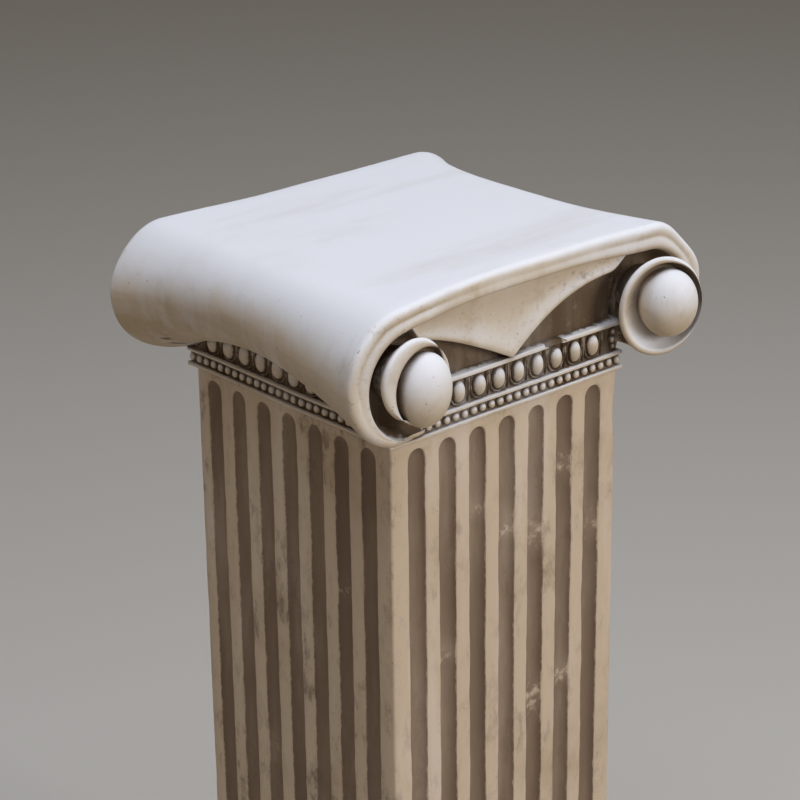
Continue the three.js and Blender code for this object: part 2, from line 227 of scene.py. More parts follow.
# %% The outer line along the sheet
TOP_COUNT = 22
ARC_COUNT = 54
HOOK_COUNT = 9
WAIST = {-1: (35.6, 160.4), 1: (38.0, 153.2)}
PINCH_SOFTNESS = 0.03
MIDDLE_REACH = {-1: 127, 1: 135}
WAIST_HOOK_SIDE = 85


def flare_share(end, side, station):
    """How far the roll has flared: 0 at its waist, 1 at its face."""
    power = scroll_end(end, side)["flare"] / 2
    soft = [(s * s + PINCH_SOFTNESS) ** power for s in (0, station, 1)]
    return (soft[1] - soft[0]) / (soft[2] - soft[0])


def edge_reach(x, end):
    """How far the front or rear edge of the slab stands out at a place across it."""
    at = scroll_end(end, x)
    out = min(1, abs(x) / (at["reach"] - at["radius"]))
    return mix(MIDDLE_REACH[end], at["face"], out ** 2)


def outer_half(end, side, station, inset):
    """The sheet's outer line from the slab's middle to the hook, drawn in by inset."""
    at = scroll_end(end, side)
    flare = flare_share(end, side, station)
    waist_radius, waist_reach = WAIST[side]
    radius = mix(waist_radius, at["radius"], flare)
    middle_x = mix(waist_reach, at["reach"], flare) - radius
    middle_z = HEIGHT - radius
    r = radius - inset
    line = [(middle_x * i / TOP_COUNT, middle_z + r) for i in range(TOP_COUNT)]
    for i in range(ARC_COUNT):
        angle = math.pi / 2 - math.pi * i / (ARC_COUNT - 1)
        flattened = at["shoulder"] * flare * math.sin(2 * angle) ** 2 if angle > 0 else 0
        line.append((middle_x + (r - flattened) * math.cos(angle),
                     middle_z + (r - flattened) * math.sin(angle)))
    near_face = abs(station) ** 6
    tip_x = mix(WAIST_HOOK_SIDE, at["hook_side"], near_face)
    tip_z = mix(middle_z - r, at["hook_height"] + inset, near_face)
    for i in range(1, HOOK_COUNT + 1):
        share = i / HOOK_COUNT
        line.append((mix(middle_x, tip_x, share), mix(middle_z - r, tip_z, ease(share))))
    return [(side * x, z) for x, z in line]


waist_line = outer_half(-1, -1, 0, 0)
print("points in half a line:", len(waist_line), "waist reach:", round(min(x for x, z in waist_line), 1))

# %% [markdown]
# The edge of the hollow runs alongside. It has a point for each point of the outer line, so the
# band between them can be filled with rows, however wide it is. Two circles would give a band of
# one width, and the real one narrows towards its hook. Near a hook's tip the band also sinks back
# towards the neck, late at the front and more slowly at the rear.

# %% The edge of the hollow
HOOK_WIDTH = 4.5
LINE_COUNT = 2 * (TOP_COUNT + ARC_COUNT + HOOK_COUNT) - 1
FRONT_RUN_OUT = HOOK_COUNT + 4
REAR_RUN_OUT = HOOK_COUNT + 12


def inner_half(end, side, shrink):
    """The edge of the hollow, matched point by point to the outer line."""
    at = scroll_end(end, side)
    r = at["hollow"] - shrink * at["bowl"]
    x0, z0 = at["hollow_side"], at["hollow_height"]
    line = []
    for i in range(TOP_COUNT):
        share = i / TOP_COUNT
        height = mix(SLAB_UNDERSIDE, z0 + r, ease(share * 1.6 - 0.6))
        line.append((x0 * share, height))
    for i in range(ARC_COUNT):
        angle = math.pi / 2 - math.pi * i / (ARC_COUNT - 1)
        tall = r if angle > 0 else r * at["hollow_low"]
        line.append((x0 + r * math.cos(angle), z0 + tall * math.sin(angle)))
    tip_z = at["hook_height"] + HOOK_WIDTH
    for i in range(1, HOOK_COUNT + 1):
        share = i / HOOK_COUNT
        step = 1 / (HOOK_COUNT + 1 - i)
        line.append((mix(x0, at["hook_side"], share), mix(line[-1][1], tip_z, step)))
    return [(side * x, z) for x, z in line]


def whole(half_line):
    """Both halves of a line, from the left hook to the right hook."""
    left = half_line(-1)
    return list(reversed(left[1:])) + half_line(1)


def hook_share(i, end):
    """0 along the sheet, growing to 1 at the tip of either hook, late at the front."""
    from_tip = min(i, LINE_COUNT - 1 - i)
    if end < 0:
        return max(0, 1 - from_tip / FRONT_RUN_OUT) ** 1.4
    return ease(1 - from_tip / REAR_RUN_OUT)


print("points in a whole line:", LINE_COUNT)

# %% [markdown]
# The face of the band isn't flat. From the outside in it has a soft rounded rim, a worn shallow
# groove, a flat inner band and a worn edge that falls into the hollow. The list below is that
# cross section: how far across the band each row lies, and how deep. The groove is worn almost
# away in the middle of the face and under the scrolls, and it is faint on the right, so its
# depth is scaled by place and by a slow noise. A bump could fake the groove, but a real one also
# shows on the outline and in raking light.

# %% The band's cross section and the net of the sheet
RIM_ROUND = 5.0
BAND_SECTION = [(0.08, 0.0), (0.16, 0.2), (0.24, 0.8), (0.32, 1.5), (0.41, 1.2), (0.51, 0.5),
                (0.63, 0.1), (0.75, 0.05), (0.86, 0.45), (0.94, 1.3), (0.98, 2.2)]
WALL_STEPS = [(0.0, 3.4), (1.2, 0.3), (3.0, 0.62), (6.0, 0.86), (12.0, 1.0)]
WORN_MIDDLE = 74


def face_depth(i, x, end):
    """Distance of the band's face from the middle plane at one point of the line."""
    return mix(edge_reach(x, end), scroll_end(end, x)["hook_depth"], hook_share(i, end))


def groove_share(x, z, end):
    """How much of the groove is left: most of it on the upper bend of the left scrolls."""
    worn = 1 + 0.6 * noise.noise(Vector((x * 0.045, end * 3.7, 1.3)))
    along = mix(0.15, 1.0 if x < 0 else 0.45, ease((abs(x) - WORN_MIDDLE) / 34))
    return along * worn * mix(0.1, 1.0, ease((z - 38) / 32))


def end_rows(end):
    """Rows of the net from the floor of a hollow out over the face to the outer skin."""
    rows = []
    inner = whole(lambda side: inner_half(end, side, 0))
    outer = whole(lambda side: outer_half(end, side, 1, RIM_ROUND))
    for shrink, share in reversed(WALL_STEPS):
        wall = whole(lambda side: inner_half(end, side, shrink))
        row = []
        for i, (x, z) in enumerate(wall):
            face = face_depth(i, x, end)
            floor_depth = min(POCKET_FLOOR, face - 1)
            depth = share if share > 1 else (face - floor_depth) * share
            row.append((x, end * max(face - depth, floor_depth), z))
        rows.append(row)
    for across, depth in reversed(BAND_SECTION):
        row = []
        for i, ((xi, zi), (xo, zo)) in enumerate(zip(inner, outer)):
            x, z = mix(xo, xi, across), mix(zo, zi, across)
            cut = depth * (groove_share(x, z, end) if across < 0.7 else 1) * (1 - hook_share(i, end))
            row.append((x, end * (face_depth(i, x, end) - cut), z))
        rows.append(row)
    for turn in range(0, 5):
        angle = turn / 5 * math.pi / 2
        inset = RIM_ROUND * (1 - math.sin(angle))
        back_by = RIM_ROUND * (1 - math.cos(angle))
        ring = whole(lambda side: outer_half(end, side, 1, inset))
        rows.append([(x, end * (face_depth(i, x, end) - back_by), z)
                     for i, (x, z) in enumerate(ring)])
    return rows


def skin_row(station):
    """One row of the outer skin along the rolls; station runs from -1 to 1."""
    end = -1 if station < 0 else 1
    ring = whole(lambda side: outer_half(end, side, station, 0))
    return [(x, station * (face_depth(i, x, end) - RIM_ROUND), z)
            for i, (x, z) in enumerate(ring)]


SKIN_ROWS = 31
front_rows = end_rows(-1)
rear_rows = list(reversed(end_rows(1)))
skin_rows = [skin_row(2 * k / (SKIN_ROWS - 1) - 1) for k in range(SKIN_ROWS)]
sheet_rows = front_rows + skin_rows + rear_rows
print("rolled sheet:", len(sheet_rows), "rows of", LINE_COUNT, "points")

# %% [markdown]
# The net is still open under the slab and at the tips of the hooks. These places are buried in
# the neck, so they only have to be closed, not pretty: a flat face closes each hollow's floor,
# another each hook, and a row of faces joins the two long edges underneath.

# %% Close the sheet
def closed_sheet(rows):
    """The rolled sheet as a closed mesh."""
    count = LINE_COUNT
    points = [p for row in rows for p in row]
    faces = net_faces(len(rows), count, False)
    last = len(rows) - 1
    front_join = len(front_rows) + next(
        k for k, row in enumerate(skin_rows) if abs(row[count // 2][1]) < POCKET_FLOOR)
    rear_join = last - front_join
    for r in range(front_join, rear_join):
        a, b = r * count, (r + 1) * count
        faces.append((a, b, b + count - 1, a + count - 1))
    for column in (0, count - 1):
        faces.append(tuple(r * count + column for r in range(0, front_join + 1)))
        faces.append(tuple(r * count + column for r in range(rear_join, last + 1)))
    faces.append(tuple(range(count)) + (front_join * count + count - 1, front_join * count))
    rear = last * count
    faces.append(tuple(range(rear, rear + count))
                 + (rear_join * count + count - 1, rear_join * count))
    return face_outward(make_object("rolled_sheet", points, faces))


capital_shells = [closed_sheet(sheet_rows)]
print("rolled sheet has", len(capital_shells[0].data.polygons), "faces")

# %% [markdown]
# ## Cups
# In front of each scroll stands a shallow cup like a saucer, and in its dish a big smooth boss.
# Both are turned shapes, but they sit off centre in each other, as if pressed on by thumb. So
# each ring of the net gets its own centre, which a lathe or a screw modifier can't do.

# %% Cups
TURN_COUNT = 64


def eccentric(name, rings, side, end, pivot, toe_in):
    """A closed shape from rings (side, height, half width, half height, depth to the viewer)."""
    angle = math.radians(toe_in) * end * side
    rows = []
    for x, z, wide, tall, depth in rings:
        row = []
        for k in range(TURN_COUNT):
            turn = 2 * math.pi * k / TURN_COUNT
            across = side * (x - pivot[0]) + wide * math.cos(turn)
            turned_x = across * math.cos(angle) - end * depth * math.sin(angle)
            turned_y = across * math.sin(angle) + end * depth * math.cos(angle)
            row.append((side * pivot[0] + turned_x, end * pivot[1] + turned_y,
                        z + tall * math.sin(turn)))
        rows.append(row)
    return face_outward(closed_stack(name, rows))


def cup(end, side):
    """Stem, flared underside, rounded lip and dish."""
    at = scroll_end(end, side)
    x, z, r, tall = at["cup_side"], at["cup_height"], at["cup"], at["cup_tall"]
    dx, dz, dr = at["dish_side"], at["dish_height"], at["dish"]
    deep, br = at["dish_depth"], at["boss"]
    stem_back = POCKET_FLOOR - 2 - at["rim"]
    rings = [(x, z, size, size * tall, depth) for size, depth in (
        (r * 0.56, stem_back), (r * 0.64, stem_back * 0.6), (r * 0.72, -13), (r * 0.83, -9),
        (r * 0.93, -5.5), (r - 0.4, -3.2), (r, -1.9), (r - 0.2, -0.9), (r - 1.0, -0.1))]
    for share, height in ((0.15, 0.5), (0.4, 0.8), (0.7, 0.5), (0.92, -0.2), (1.0, -1.2)):
        wide, high = mix(r - 1.0, dr, share), mix((r - 1.0) * tall, dr * at["dish_tall"], share)
        rings.append((mix(x, dx, share), mix(z, dz, share), wide, high, height))
    for share, fall in ((0.12, 0.55), (0.4, 0.85), (0.8, 1.0)):
        wide, high = mix(dr, br, share), mix(dr * at["dish_tall"], br * at["boss_tall"], share)
        rings.append((mix(dx, at["boss_side"], share), mix(dz, at["boss_height"], share),
                      wide, high, -deep * fall))
    rings.append((at["boss_side"], at["boss_height"], br * 0.5, br * 0.5, -deep))
    return eccentric("cup", rings, side, end, (at["cup_side"], at["rim"]), at["toe_in"])


print("radius of the front cups:", FRONT_LEFT["cup"], FRONT_RIGHT["cup"])

# %% [markdown]
# ## Bosses
# Each boss is a smooth dome like half an egg, a little taller than wide, on a short drum that
# stands in the dish. A sphere that is scaled and sunk would do for the dome, but the same rings
# as for the cup also make the drum, and turn the boss with its cup.

# %% Bosses
DOME_STEPS = 15


def boss(end, side):
    """A dome on a short drum, a little taller than wide."""
    at = scroll_end(end, side)
    x, z, r = at["boss_side"], at["boss_height"], at["boss"]
    steps = [(0.96, -at["dish_depth"] - 1), (0.985, -4), (1.0, -1)]
    for k in range(1, DOME_STEPS):
        climb = k / DOME_STEPS * math.pi / 2
        steps.append((math.cos(climb), at["proud"] * math.sin(climb)))
    steps.append((0.03, at["proud"]))
    rings = [(x, z, r * share, r * share * at["boss_tall"], depth) for share, depth in steps]
    return eccentric("boss", rings, side, end, (at["cup_side"], at["rim"]), at["toe_in"])


for end in (-1, 1):
    for side in (-1, 1):
        capital_shells += [cup(end, side), boss(end, side)]
print("cups and bosses made:", len(capital_shells) - 1)

# %% [markdown]
# ## The aprons
# A thin pointed apron hangs from the slab on the front and the rear, like a cloth pulled to one
# tip. Its lower edge swings down in two curves, the right one the more hollow, and its front is
# dished. A simulated cloth would hang by itself, but this edge has to follow the real one. So the
# apron is built as upright slices from left to right, each a closed outline.

# %% Aprons
APRON_HALF = 118
APRON_EDGE_HIGH = 85
APRON_BEND = {-1: 1.45, 1: 2.4}
APRON_TIP = 40.6
APRON_THICKNESS = 7
APRON_DISH = 4.6
APRON_SLICES = 68


def apron_edge(x):
    """Height of the apron's lower edge at a place across the face."""
    out = min(1, abs(x) / APRON_HALF)
    edge = mix(APRON_TIP, APRON_EDGE_HIGH, 1 - (1 - out) ** APRON_BEND[-1 if x < 0 else 1])
    return mix(edge, SLAB_UNDERSIDE + 1, ease((out - 0.82) / 0.18))


def apron_slice(x, end):
    """Front from top to edge, a rounded edge, then the back up again."""
    foot = apron_edge(x)
    top_y = edge_reach(x, end) - 3.2
    tip_y = NECK_HALF + 2.6
    fall = (SLAB_UNDERSIDE - foot) / (SLAB_UNDERSIDE - APRON_TIP)
    edge_y = mix(top_y, tip_y, fall)
    line = []
    for k in range(13):
        s = k / 12
        hollow = APRON_DISH * math.sin(math.pi * min(1, s * 1.08)) * (0.25 + 0.75 * fall)
        line.append((mix(top_y, edge_y, s) - hollow, mix(SLAB_UNDERSIDE + 1.5, foot + 0.9, s)))
    line += [(edge_y - 0.5, foot + 0.25), (edge_y - 1.4, foot)]
    thin = min(APRON_THICKNESS, edge_y - WALL_HALF + 1)
    line += [(edge_y - thin, foot + 0.3), (WALL_HALF - 2, mix(foot, SLAB_UNDERSIDE, 0.35)),
             (WALL_HALF - 2, SLAB_UNDERSIDE + 1.5)]
    return [(x, end * y, z) for y, z in line]


def apron(end):
    """A whole apron, from its left end to its right."""
    places = [APRON_HALF * (2 * k / APRON_SLICES - 1) for k in range(APRON_SLICES + 1)]
    return face_outward(closed_stack("apron", [apron_slice(x, end) for x in places]))


capital_shells += [apron(-1), apron(1)]
print("apron tip at", round(apron_edge(0), 1), "mm")

# %% [markdown]
# ## Neck and wall
# Under the scrolls the capital is a plain square block. Two sunk fields run round it between
# three narrow fillets, for the bead row and the egg row, and above them a plain wall stands back
# in the shade of the slab. Stacked boxes would leave sharp dead corners. So the profile is drawn
# once, with its edges eased, and carried round a square with rounded corners.

# %% Neck
NECK_PROFILE = [(-1.2, 0), (-0.3, 0.4), (0, 1.2), (0, 2.5), (-0.5, 3.0), (-3.4, 3.3), (-4, 4),
                (-4, 11.4), (-3.4, 12.1), (-0.5, 12.5), (0, 12.9), (0, 14.5), (-0.5, 15),
                (-4.4, 15.4), (-5, 16.2), (-5, 35.8), (-4.4, 36.5), (-0.5, 36.8), (0, 37.3),
                (0, 39.4), (-0.8, 40.3), (-WALL_SETBACK, 40.8), (-WALL_SETBACK, 106)]
NECK_CORNER = 1.6
SIDE_STEPS = 36


def square_ring(half, corner, height):
    """A square with rounded corners, its sides cut in short steps."""
    ring = []
    for face in range(4):
        turn = face * math.pi / 2
        local = [(mix(-half + corner, half - corner, i / SIDE_STEPS), -half)
                 for i in range(SIDE_STEPS + 1)]
        for k in range(1, 4):
            angle = -math.pi / 2 + k / 4 * math.pi / 2
            local.append((half - corner + corner * math.cos(angle),
                          -half + corner + corner * math.sin(angle)))
        for x, y in local:
            ring.append((x * math.cos(turn) - y * math.sin(turn),
                         x * math.sin(turn) + y * math.cos(turn), height))
    return ring


neck_rings = [square_ring(NECK_HALF + out, NECK_CORNER, z) for out, z in NECK_PROFILE]
capital_shells.append(face_outward(closed_stack("neck", neck_rings)))
print("neck:", round(2 * NECK_HALF, 1), "mm wide")

# %% [markdown]
# In the front left scroll the neck's corner would poke into the hollow behind the cup. On the
# real column clay was smoothed over it, and the band runs out into that clay. Moving the neck's
# points would bend its rows of ornament, so a separate low dome covers the neck there. Low down
# it is cut off at the neck's side, so that it stays hidden by the roll from behind.

# %% The dome in the front left scroll
DOME_MIDDLE = (-108, 36)
DOME_HALF = (40, 40)
DOME_FOOT = NECK_HALF - 7.4
DOME_RISE = 13
CUT_BELOW_BEHIND = 27
CUT_BELOW_IN_FRONT = 16


def dome_ring(share, out):
    """A level line of the dome, kept within the neck's side where the roll can't hide it."""
    low = CUT_BELOW_BEHIND if out < NECK_HALF else CUT_BELOW_IN_FRONT
    ring = []
    for k in range(TURN_COUNT):
        turn = 2 * math.pi * k / TURN_COUNT
        x = DOME_MIDDLE[0] + DOME_HALF[0] * share * math.cos(turn)
        z = DOME_MIDDLE[1] + DOME_HALF[1] * share * math.sin(turn)
        ring.append((max(x, -NECK_HALF + 0.8) if z < low else x, -out, max(z, 1.5)))
    return ring


dome_rings = [dome_ring(1, DOME_FOOT - 6)]
for k in range(12):
    climb = k / 12 * math.pi / 2
    dome_rings.append(dome_ring(math.cos(climb), DOME_FOOT + DOME_RISE * math.sin(climb)))
capital_shells.append(face_outward(closed_stack("dome", dome_rings)))
print("dome stands", round(DOME_FOOT + DOME_RISE - NECK_HALF, 1), "mm proud of the neck")

# %% [markdown]
# ## The bead row
# The lower of the two sunk fields holds a string of small pearls. They were pressed in one by
# one, so each is a little out of line. An array modifier would set them out evenly and at once,
# but a loop can shift each of them. Every bead is a rounded lump set half into the field.

# %% Beads on all four faces
dice = np.random.default_rng(SEED)


def lump(name, x, out, z, size, across, along):
    """A rounded lump on the front face: place, half sizes and net counts."""
    rings = []
    for k in range(along + 1):
        angle = math.pi * (k + 0.5) / (along + 1) - math.pi / 2
        ring_size = math.cos(angle)
        rings.append([(x + size[0] * ring_size * math.cos(2 * math.pi * i / across),
                       -out + size[1] * ring_size * math.sin(2 * math.pi * i / across),
                       z + size[2] * math.sin(angle)) for i in range(across)])
    return closed_stack(name, rings)


def turned_to_face(piece, face):
    """Carries an ornament from the front round to another face."""
    piece.data.transform(Matrix.Rotation(face * math.pi / 2, 4, "Z"))
    return face_outward(piece)


BEAD_COUNT = 27
BEAD_PITCH = 8.75
BEAD_FIELD = NECK_HALF - 4
BEAD_HEIGHT = 7.7

for face in range(4):
    for i in range(BEAD_COUNT):
        x = (i - (BEAD_COUNT - 1) / 2) * BEAD_PITCH + dice.normal(0, 0.12)
        size = (3.35 * dice.normal(1, 0.03), 3.9, 3.75 * dice.normal(1, 0.02))
        bead = lump("bead", x, BEAD_FIELD, BEAD_HEIGHT + dice.normal(0, 0.1), size, 12, 7)
        capital_shells.append(turned_to_face(bead, face))
print("beads:", 4 * BEAD_COUNT)

# %% [markdown]
# ## Frames and darts
# In the upper field each egg sits in a raised U, and a slim dart stands between neighbours. A
# curve with a bevel could draw the U, but only a closed mesh can join the neck in one union. So
# the U is a thin rod, swept along its path as small rings, and the dart a stack of small rings.

# %% A frame and a dart
ROD_COUNT = 8
FRAME_HALF_WIDTH = 1.0
FRAME_STANDS_OUT = 2.6


def frame_rod(x, face_out):
    """The raised U round an egg: a thin rod that hangs from the upper fillet."""
    path = [(x - 8.0, 36.9), (x - 8.1, 32), (x - 7.9, 26), (x - 7.0, 21), (x - 4.6, 17.3),
            (x, 15.9), (x + 4.6, 17.3), (x + 7.0, 21), (x + 7.9, 26), (x + 8.1, 32),
            (x + 8.0, 36.9)]
    rings = []
    for k, (px, pz) in enumerate(path):
        before, after = path[max(0, k - 1)], path[min(len(path) - 1, k + 1)]
        run = Vector((after[0] - before[0], 0, after[1] - before[1])).normalized()
        across = Vector((run.z, 0, -run.x))
        ring = []
        for i in range(ROD_COUNT):
            angle = 2 * math.pi * i / ROD_COUNT
            spot = Vector((px, -face_out, pz)) + across * (FRAME_HALF_WIDTH * math.cos(angle))
            spot += Vector((0, -1, 0)) * (FRAME_STANDS_OUT * math.sin(angle))
            ring.append(tuple(spot))
        rings.append(ring)
    return closed_stack("egg_frame", rings)


def dart(x, face_out):
    """A slim dart, wide and round at the top and pointed below."""
    rings = []
    for z, half, out in ((36.6, 0.8, 1.5), (34.5, 1.3, 3.0), (30, 1.1, 3.2), (24, 0.8, 2.8),
                         (19, 0.55, 2.2), (15.4, 0.3, 1.0)):
        rings.append([(x + half * math.cos(2 * math.pi * i / ROD_COUNT),
                       -face_out - out * math.sin(2 * math.pi * i / ROD_COUNT), z)
                      for i in range(ROD_COUNT)])
    return closed_stack("dart", rings)


print("a frame stands", FRAME_STANDS_OUT, "mm out of its field")

# %% [markdown]
# ## The egg row
# The eggs are larger than the beads and taller than wide, ten to a face. They are made like the
# beads, each with its frame, and the darts fill the gaps. One row could be made once and copied
# to the other faces, but then all four would show the same small mistakes.

# %% Eggs with their frames and darts
EGG_COUNT = 10
EGG_PITCH = 19.5
EGG_FIELD = NECK_HALF - 5
EGG_MIDDLE = 26.3

for face in range(4):
    for i in range(EGG_COUNT):
        x = (i - (EGG_COUNT - 1) / 2) * EGG_PITCH + dice.normal(0, 0.25)
        size = (5.9 * dice.normal(1, 0.03), 6.6, 8.9 * dice.normal(1, 0.02))
        egg = lump("egg", x, EGG_FIELD, EGG_MIDDLE + dice.normal(0, 0.2), size, 18, 11)
        capital_shells.append(turned_to_face(egg, face))
        capital_shells.append(turned_to_face(frame_rod(x, EGG_FIELD), face))
    for i in range(EGG_COUNT + 1):
        x = (i - EGG_COUNT / 2) * EGG_PITCH
        capital_shells.append(turned_to_face(dart(x, EGG_FIELD), face))
print("eggs:", 4 * EGG_COUNT)

# %% [markdown]
# ## Corner leaves
# A small leaf turns each corner of the egg row: one rib down the corner, and three lobes that
# curl out of it on either side. Sculpting could shape each leaf more finely, but the real ones
# are two centimetres high and read as soft lobes. So seven rounded lumps make a leaf.

# %% Corner leaves
corner = NECK_HALF - 4.4
for face in range(4):
    rib = lump("corner_rib", corner - 0.6, corner - 0.6, EGG_MIDDLE, (2.6, 2.6, 10.5), 10, 9)
    capital_shells.append(turned_to_face(rib, face))
    for inward, height, half in ((4.6, 31.5, 2.6), (5.4, 25.5, 2.9), (4.4, 19.8, 2.4)):
        for flip in (False, True):
            across, out = (corner - inward, corner + 0.2) if not flip else (
                corner + 0.2, corner - inward)
            lobe = lump("corner_lobe", across, out, height, (half, half, half * 1.15), 10, 6)
            capital_shells.append(turned_to_face(lobe, face))
print("shells in the capital:", len(capital_shells))

# %% [markdown]
# ## Joining the capital
# All the lumps are closed shells that overlap. A Boolean union turns them into one skin without
# hidden faces inside, as in a real casting. The fast manifold solver copes with hundreds of
# shells at once. A second Boolean bites the chip out of the upper fillet, right of the apron's
# tip, with a rough lump as the cutter.

# %% Union and chip
def boolean(piece, others, operation):
    """Joins others to the piece, or cuts them from it, and removes them."""
    group = bpy.data.collections.new("shells")
    for other in others:
        group.objects.link(other)
    change = piece.modifiers.new("boolean", "BOOLEAN")
    change.operand_type = "COLLECTION"
    change.collection = group
    change.operation = operation
    change.solver = "MANIFOLD"
    graph = bpy.context.evaluated_depsgraph_get()
    result = bpy.data.meshes.new_from_object(piece.evaluated_get(graph))
    piece.modifiers.clear()
    piece.data = result
    for other in others:
        bpy.data.objects.remove(other)
    bpy.data.collections.remove(group)
    return piece


def rough_lump(x, out, z, size, roughness, seed):
    """A lump with a broken, stony surface."""
    made = lump("chip_cutter", x, out, z, size, 24, 16)
    for corner in made.data.vertices:
        shake = noise.noise_vector(corner.co * 260 + Vector((seed, 0, 0)))
        corner.co += shake * roughness * MM
    return face_outward(made)


capital = boolean(capital_shells[0], capital_shells[1:], "UNION")
chips = [rough_lump(45, NECK_HALF + 0.4, 39.4, (10.5, 5.4, 3.6), 1.4, 3),
         rough_lump(52, NECK_HALF + 0.8, 38.2, (6.0, 3.4, 2.6), 1.2, 5)]
capital = boolean(capital, chips, "DIFFERENCE")
capital.name = "capital_casting"
print("capital:", len(capital.data.polygons), "faces")

# %% [markdown]
# ## Where the brown wash stays
# The whole column was brushed with thin umber paint and wiped with a rag. The rag can't reach
# the sunk rows of the neck, the wall under the slab or the hollows round the cups, so the paint
# stayed there; on the wall and in the hollows the share also paints the shade that falls there.
# How far a point lies behind the face that the rag ran over says how dark it is.
# The cups and bosses stand proudest, so the rag cleaned them most: they get a share below 0.
# That share is stored on each point of the mesh, and the material reads it by name. Painting an
# image would need unwrapping, and would not follow if a size changed.

# %% Store the wash, and find the hollows
TOP_FILLET = 40.4


def store_wash(piece, share_of):
    """Keeps one number from -1, rubbed clean, to 1, full of paint, on each point of a mesh."""
    layer = piece.data.attributes.new("wash", "FLOAT", "POINT")
    layer.data.foreach_set("value", [share_of(v.co / MM) for v in piece.data.vertices])
    print(piece.name, "points with wash:", len(piece.data.vertices))


def in_hollow(x, z, end):
    """Whether a point of the face lies inside the band's inner edge."""
    at = scroll_end(end, x)
    side, height, r = at["hollow_side"], at["hollow_height"], at["hollow"] + 0.4
    below = at["hollow_low"] if z < height else 1
    if math.hypot(abs(x) - side, (z - height) / below) < r:
        return True
    if abs(x) >= side:
        return False
    run = (side - abs(x)) / (side - at["hook_side"])
    tip = at["hook_height"] + HOOK_WIDTH
    low = mix(height - r * at["hollow_low"], tip, run) if run < 1 else TOP_FILLET
    return low < z < SLAB_UNDERSIDE


print("the front left hollow holds its own middle:", in_hollow(-116, 58, -1))

# %% [markdown]
# With that, each part of the capital gets its share. The sunk rows and the wall are almost full
# of paint, the hollows nearly so, and the wall and hollows carry painted shade as well; the
# aprons hold a little, more on the right. On the bands the rag went lightly on the left and
# harder in the middle and on the right.

# %% The capital's wash
RUBBED_OUT = 146
IN_ROWS = 0.95
WASH_AND_SHADE_ON_WALL = 0.9
WASH_AND_SHADE_IN_HOLLOWS = 0.82
ON_APRON = (0.16, 0.34)


def band_wash(x):
    """Wash on the band at a place across the face."""
    return 0.2 * ease((-x - 80) / 50) - ease(x / 90) - 0.35 * ease(1 - abs(x + 5) / 60)


def capital_wash_and_shade(spot):
    """Wash on the capital, with painted shade on the wall and in the hollows, with heights from its own
    foot.
    """
    x, y, z = spot
    out = max(abs(x), abs(y))
    if abs(y) > RUBBED_OUT:
        return -0.9 * ease((abs(y) - RUBBED_OUT) / 6)
    if z < TOP_FILLET and out < NECK_HALF + 0.5 and min(abs(x), abs(y)) < NECK_HALF:
        return IN_ROWS * ease((NECK_HALF - 0.5 - out) / 3.4)
    end = -1 if y < 0 else 1
    behind = edge_reach(x, end) - abs(y)
    # In the hollows the share is umber wash and painted shade.
    if abs(y) > POCKET_FLOOR - 3 and in_hollow(x, z, end):
        on_apron = abs(x) < APRON_HALF and z > apron_edge(x) - 1 and abs(y) > WALL_HALF + 3
        kept_wash_and_shade = mix(*ON_APRON, ease((x - 10) / 80)) if on_apron else WASH_AND_SHADE_IN_HOLLOWS
        return kept_wash_and_shade * ease((behind - 1.5) / 6)
    if behind < 9 and abs(y) > NECK_HALF + 6:
        return band_wash(x)
    # The wall under the slab: umber wash and painted shade.
    if out < WALL_HALF + 1 and TOP_FILLET <= z < SLAB_UNDERSIDE:
        return WASH_AND_SHADE_ON_WALL
    return 0.0


store_wash(capital, capital_wash_and_shade)

# %% [markdown]
# ## Hand-made unevenness
# A cast from a hand-made pattern is never straight. A slow swell moves every point a fraction of
# a millimetre, and a finer one roughens it. Moving the points is better than a bump here,
# because the long highlights on the slab and rolls then wander as they do in the photograph.

# %% Swell and smooth shading
def uneven(piece, slow, fine):
    """Moves each point by a slow and a fine noise, given in millimetres."""
    for corner in piece.data.vertices:
        swell = noise.noise_vector(corner.co * 14) * slow
        grain = noise.noise_vector(corner.co * 85) * fine
        corner.co += (swell + grain) * MM
    piece.data.update()


def shade(piece, angle):
    """Smooth shading that keeps edges sharper than the angle."""
    piece.data.polygons.foreach_set("use_smooth", [True] * len(piece.data.polygons))
    piece.data.set_sharp_from_angle(angle=math.radians(angle))


def level_foot(piece, low, high):
    """Keeps the bearing faces flat and within the solid's height."""
    for corner in piece.data.vertices:
        corner.co.z = min(max(corner.co.z, low * MM), high * MM)


capital.data.transform(Matrix.Translation((0, 0, FOOT * MM)))
uneven(capital, 0.7, 0.12)
level_foot(capital, FOOT, FOOT + HEIGHT)
shade(capital, 42)
print("capital's top at", round(max(v.co.z for v in capital.data.vertices) / MM, 1), "mm")

# %% [markdown]
# ## The flutes
# Each face of the shaft has seven shallow flutes with round ends, as a round cutter leaves them
# when it is sunk in and drawn along. So a flute's width and depth at a height follow from the
# cutter's radius. The heights at which the shaft gets a row of points lie close together at the
# flutes' ends, so that the round ends stay round without a very fine net.

# %% Sizes of the shaft and its flutes
SHAFT_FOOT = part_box("shaft")[0].z / MM
SHAFT_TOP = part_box("shaft")[1].z / MM
FLUTE_COUNT = 7
FLUTE_PITCH = 30
FLUTE_HALF = 8.5
FLUTE_DEPTH = 6.5
FLUTE_TOP = SHAFT_TOP - 6.6
FLUTE_BOTTOM = SHAFT_FOOT + 22
CUT_RADIUS = (FLUTE_HALF ** 2 + FLUTE_DEPTH ** 2) / (2 * FLUTE_DEPTH)
CUT_OUTSIDE = CUT_RADIUS - FLUTE_DEPTH
ACROSS = [0, 0.3, 0.55, 0.74, 0.88, 0.965, 1.0]
ARRIS = 1.1


